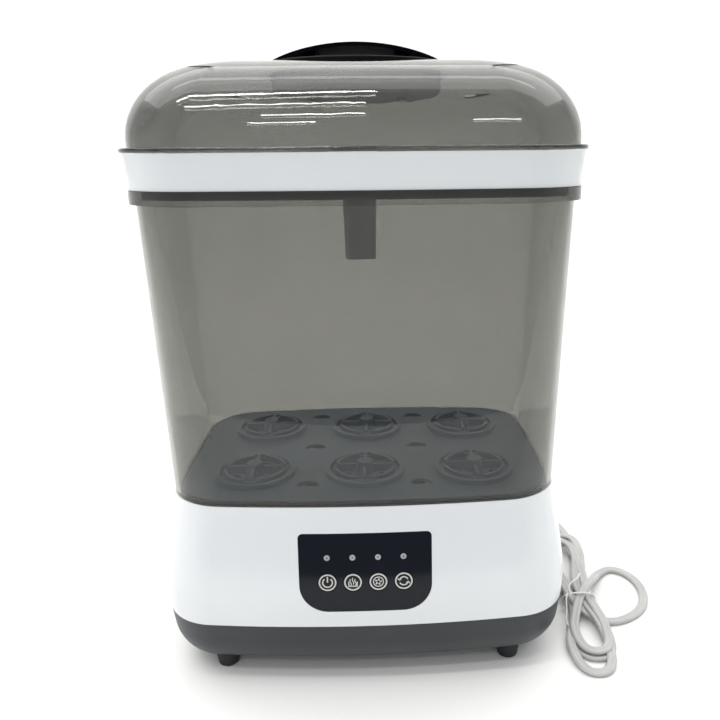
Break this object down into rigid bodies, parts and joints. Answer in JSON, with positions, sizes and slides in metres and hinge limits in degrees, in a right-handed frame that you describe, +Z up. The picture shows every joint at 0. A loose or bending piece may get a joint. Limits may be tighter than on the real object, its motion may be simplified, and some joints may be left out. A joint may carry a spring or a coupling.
{
  "type": "bottle sterilizer",
  "caption": "Electric steam sterilizer and dryer for baby bottles: heated base with buttons, smoked tub with bottle tray, collar with accessory rack, and a domed lid with a handle.",
  "frame": {"origin": "on the floor under the centre of the casing", "axes": "+Z up, front control panel faces -Y, +X to the right seen from the front"},
  "size_m": [0.3559, 0.2721, 0.3928],
  "materials": {
    "white_gloss": "glossy moulded ABS",
    "dark_pan": "satin moulded ABS",
    "foot_rubber": "soft matt",
    "smoke": "clear smoked plastic, polished",
    "tray_grey": "satin moulded polypropylene",
    "rack_grey": "satin moulded polypropylene",
    "black_gloss": "glossy printed panel",
    "black_satin": "satin moulded ABS",
    "lens_clear": "frosted light pipe",
    "board_green": "solder-masked board",
    "part_black": "moulded component",
    "steel": "stainless",
    "zinc": "zinc-plated",
    "silicone": "soft translucent",
    "duct_white": "moulded",
    "ceramic": "finned",
    "filter_foam": "pleated fibre",
    "cord_grey": "soft PVC sheath",
    "tie_white": "coated wire",
    "brass_blade": "nickel-plated"
  },
  "bodies": {
    "base": {"base_shell": "white_gloss", "inner_deck": "white_gloss", "base_pan": "dark_pan", "rubber_feet": "foot_rubber", "pan_screws": "zinc", "control_panel": "black_gloss", "indicator_lenses": "lens_clear", "control_board": "board_green", "tact_switches": "part_black", "indicator_leds": "lens_clear", "board_screws": "zinc", "power_board": "board_green", "board_posts": "dark_pan", "heating_plate": "steel", "plate_seal": "silicone", "heating_element": "steel", "thermostat": "part_black", "thermostat_bracket": "zinc", "fan_housing": "duct_white", "fan_motor": "zinc", "air_duct": "duct_white", "air_heater": "ceramic", "outlet_grille": "tray_grey", "cord_gland": "cord_grey", "cord_lead": "cord_grey", "cord_hank": "cord_grey", "cord_tie": "tie_white", "cord_tail": "cord_grey", "plug_body": "cord_grey", "plug_blades": "brass_blade"},
    "tub": {"tub": "smoke"},
    "tray": {"bottle_tray": "tray_grey"},
    "collar": {"collar_ring": "white_gloss"},
    "rack": {"accessory_tray": "rack_grey"},
    "lid": {"lid_shell": "smoke", "handle_cup": "black_satin", "handle_grip": "black_satin", "handle_screws": "zinc"},
    "fan": {"fan_impeller": "part_black"},
    "filter": {"filter_door": "white_gloss", "air_filter": "filter_foam"},
    "power_button": {"power_button": "black_gloss"},
    "steam_button": {"steam_button": "black_gloss"},
    "dry_button": {"dry_button": "black_gloss"},
    "auto_button": {"auto_button": "black_gloss"}
  },
  "joints": [
    {"name": "tub_lift", "type": "slide", "parent": "base", "child": "tub", "axis": [0, 0, 1], "range_m": [0, 0.12]},
    {"name": "tray_lift", "type": "slide", "parent": "tub", "child": "tray", "axis": [0, 0, 1], "range_m": [0, 0.1]},
    {"name": "collar_lift", "type": "slide", "parent": "tub", "child": "collar", "axis": [0, 0, 1], "range_m": [0, 0.12]},
    {"name": "rack_lift", "type": "slide", "parent": "collar", "child": "rack", "axis": [0, 0, 1], "range_m": [0, 0.08]},
    {"name": "lid_lift", "type": "slide", "parent": "rack", "child": "lid", "axis": [0, 0, 1], "range_m": [0, 0.12]},
    {"name": "filter_pull", "type": "slide", "parent": "base", "child": "filter", "axis": [0, 1, 0], "range_m": [0, 0.05]},
    {"name": "fan_spin", "type": "hinge", "parent": "base", "child": "fan", "pos_m": [-0.085, 0.008, 0.03], "axis": [0, 0, 1], "continuous": true},
    {"name": "power_button_press", "type": "slide", "parent": "base", "child": "power_button", "axis": [0, 0.9933, -0.1154], "range_m": [0, 0.0008], "stiffness_N_per_m": 1500, "springref_m": -0.0004},
    {"name": "steam_button_press", "type": "slide", "parent": "base", "child": "steam_button", "axis": [0, 0.9933, -0.1154], "range_m": [0, 0.0008], "stiffness_N_per_m": 1500, "springref_m": -0.0004},
    {"name": "dry_button_press", "type": "slide", "parent": "base", "child": "dry_button", "axis": [0, 0.9933, -0.1154], "range_m": [0, 0.0008], "stiffness_N_per_m": 1500, "springref_m": -0.0004},
    {"name": "auto_button_press", "type": "slide", "parent": "base", "child": "auto_button", "axis": [0, 0.9933, -0.1154], "range_m": [0, 0.0008], "stiffness_N_per_m": 1500, "springref_m": -0.0004}
  ]
}
